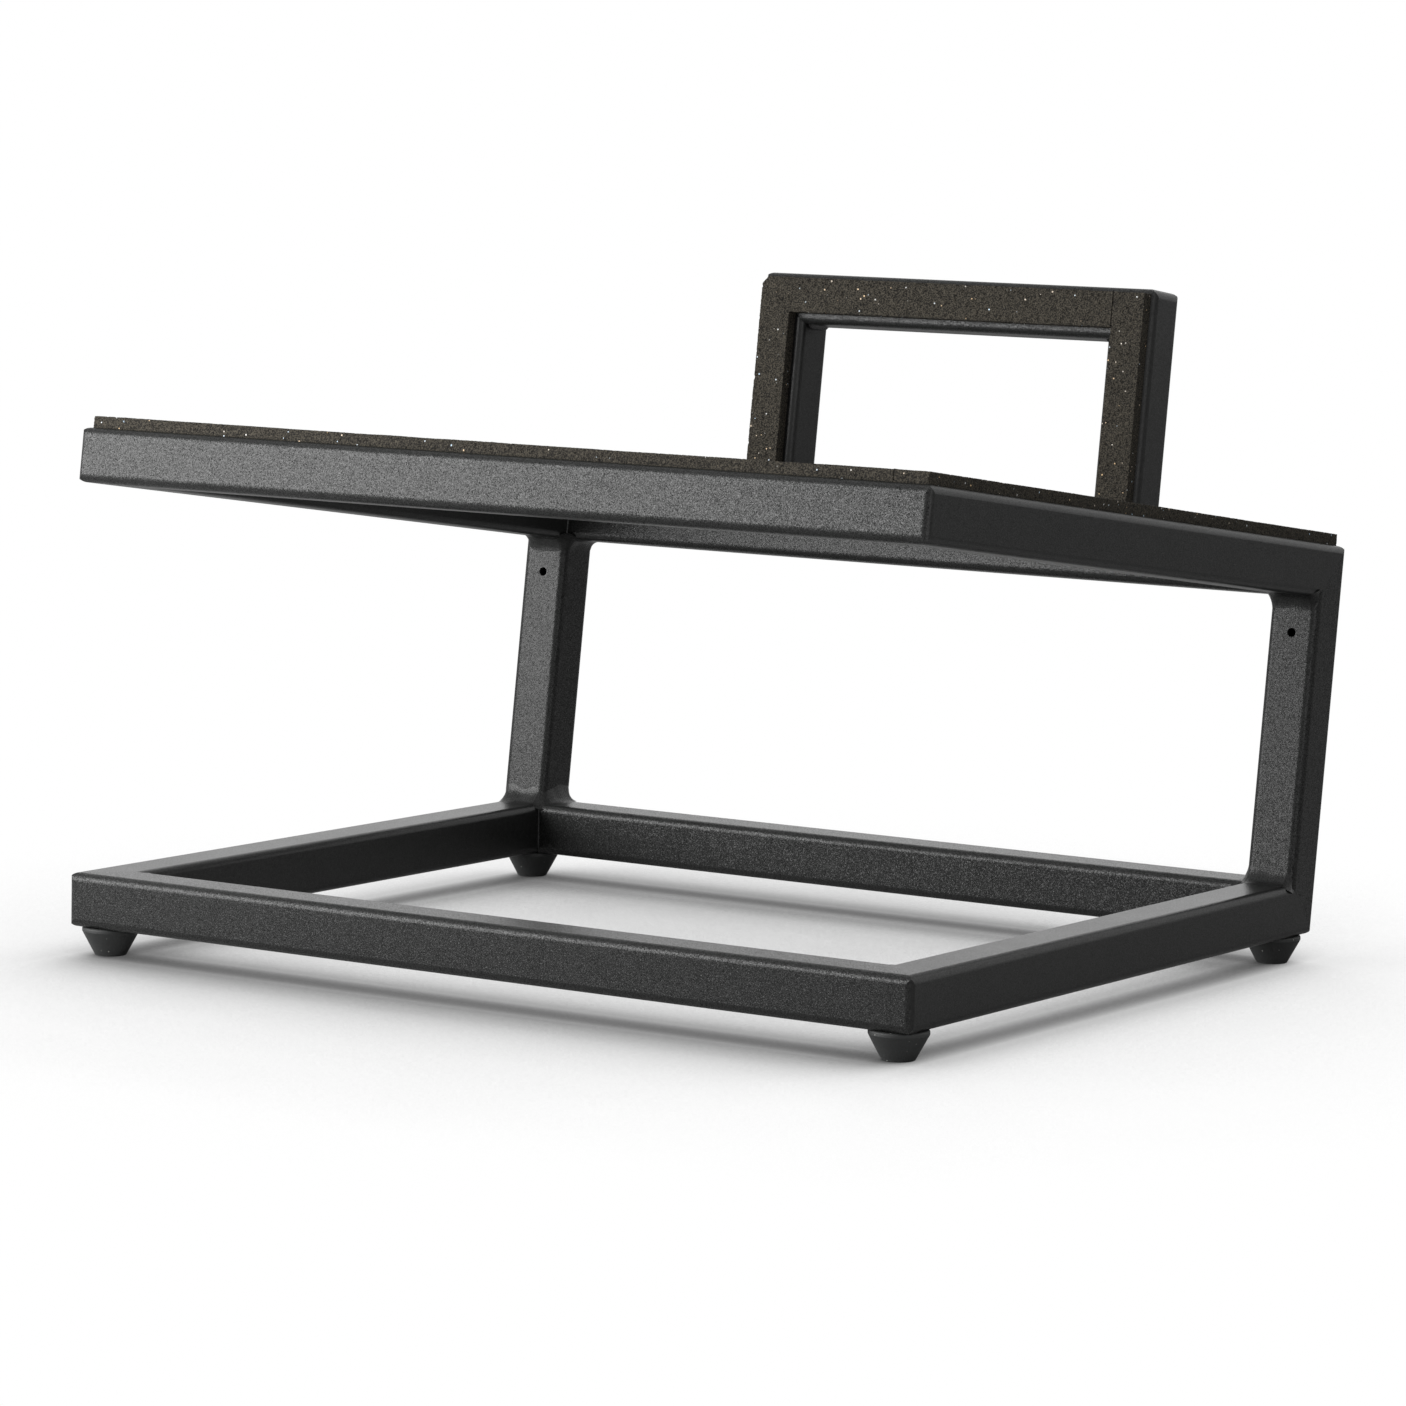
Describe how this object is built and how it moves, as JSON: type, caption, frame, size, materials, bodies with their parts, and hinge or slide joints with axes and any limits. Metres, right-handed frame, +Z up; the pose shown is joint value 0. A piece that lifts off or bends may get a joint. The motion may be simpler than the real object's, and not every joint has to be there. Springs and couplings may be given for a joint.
{
  "type": "speaker stand",
  "caption": "Tilted desktop loudspeaker stand: welded square tube frame with a base ring, two uprights, a foam-padded platform and a rear stop hoop, on conical rubber feet.",
  "frame": {"origin": "on the floor, below the middle of the bounding box of the whole stand", "axes": "+X to the right seen from the front, -Y to the front, where the platform is higher, +Z up"},
  "size_m": [0.36, 0.3414, 0.2474],
  "materials": {
    "powder_coated_tube": "fine textured black powder coat, satin",
    "powder_coated_weld": "black powder coat over rippled welds",
    "foot_rubber": "moulded matte rubber",
    "zinc_plated_steel": "bright zinc plating",
    "foam": "open-cell foam, charcoal brown"
  },
  "bodies": {
    "root": {"base_front_rail": "powder_coated_tube", "base_rear_rail": "powder_coated_tube", "base_left_rail": "powder_coated_tube", "base_right_rail": "powder_coated_tube", "left_upright": "powder_coated_tube", "right_upright": "powder_coated_tube", "platform_front_rail": "powder_coated_tube", "platform_rear_rail": "powder_coated_tube", "platform_left_rail": "powder_coated_tube", "platform_right_rail": "powder_coated_tube", "hoop_left_leg": "powder_coated_tube", "hoop_right_leg": "powder_coated_tube", "hoop_top_rail": "powder_coated_tube", "hoop_leg_caps": "powder_coated_tube", "base_welds": "powder_coated_weld", "upright_welds": "powder_coated_weld", "platform_welds": "powder_coated_weld", "hoop_welds": "powder_coated_weld", "front_left_foot": "foot_rubber", "front_right_foot": "foot_rubber", "rear_left_foot": "foot_rubber", "rear_right_foot": "foot_rubber", "foot_studs": "zinc_plated_steel", "rivet_nuts": "zinc_plated_steel", "platform_foam_front_left": "foam", "platform_foam_front_right": "foam", "platform_foam_rear": "foam", "platform_foam_left": "foam", "platform_foam_right": "foam", "hoop_foam_left": "foam", "hoop_foam_right": "foam", "hoop_foam_top": "foam"}
  },
  "joints": []
}
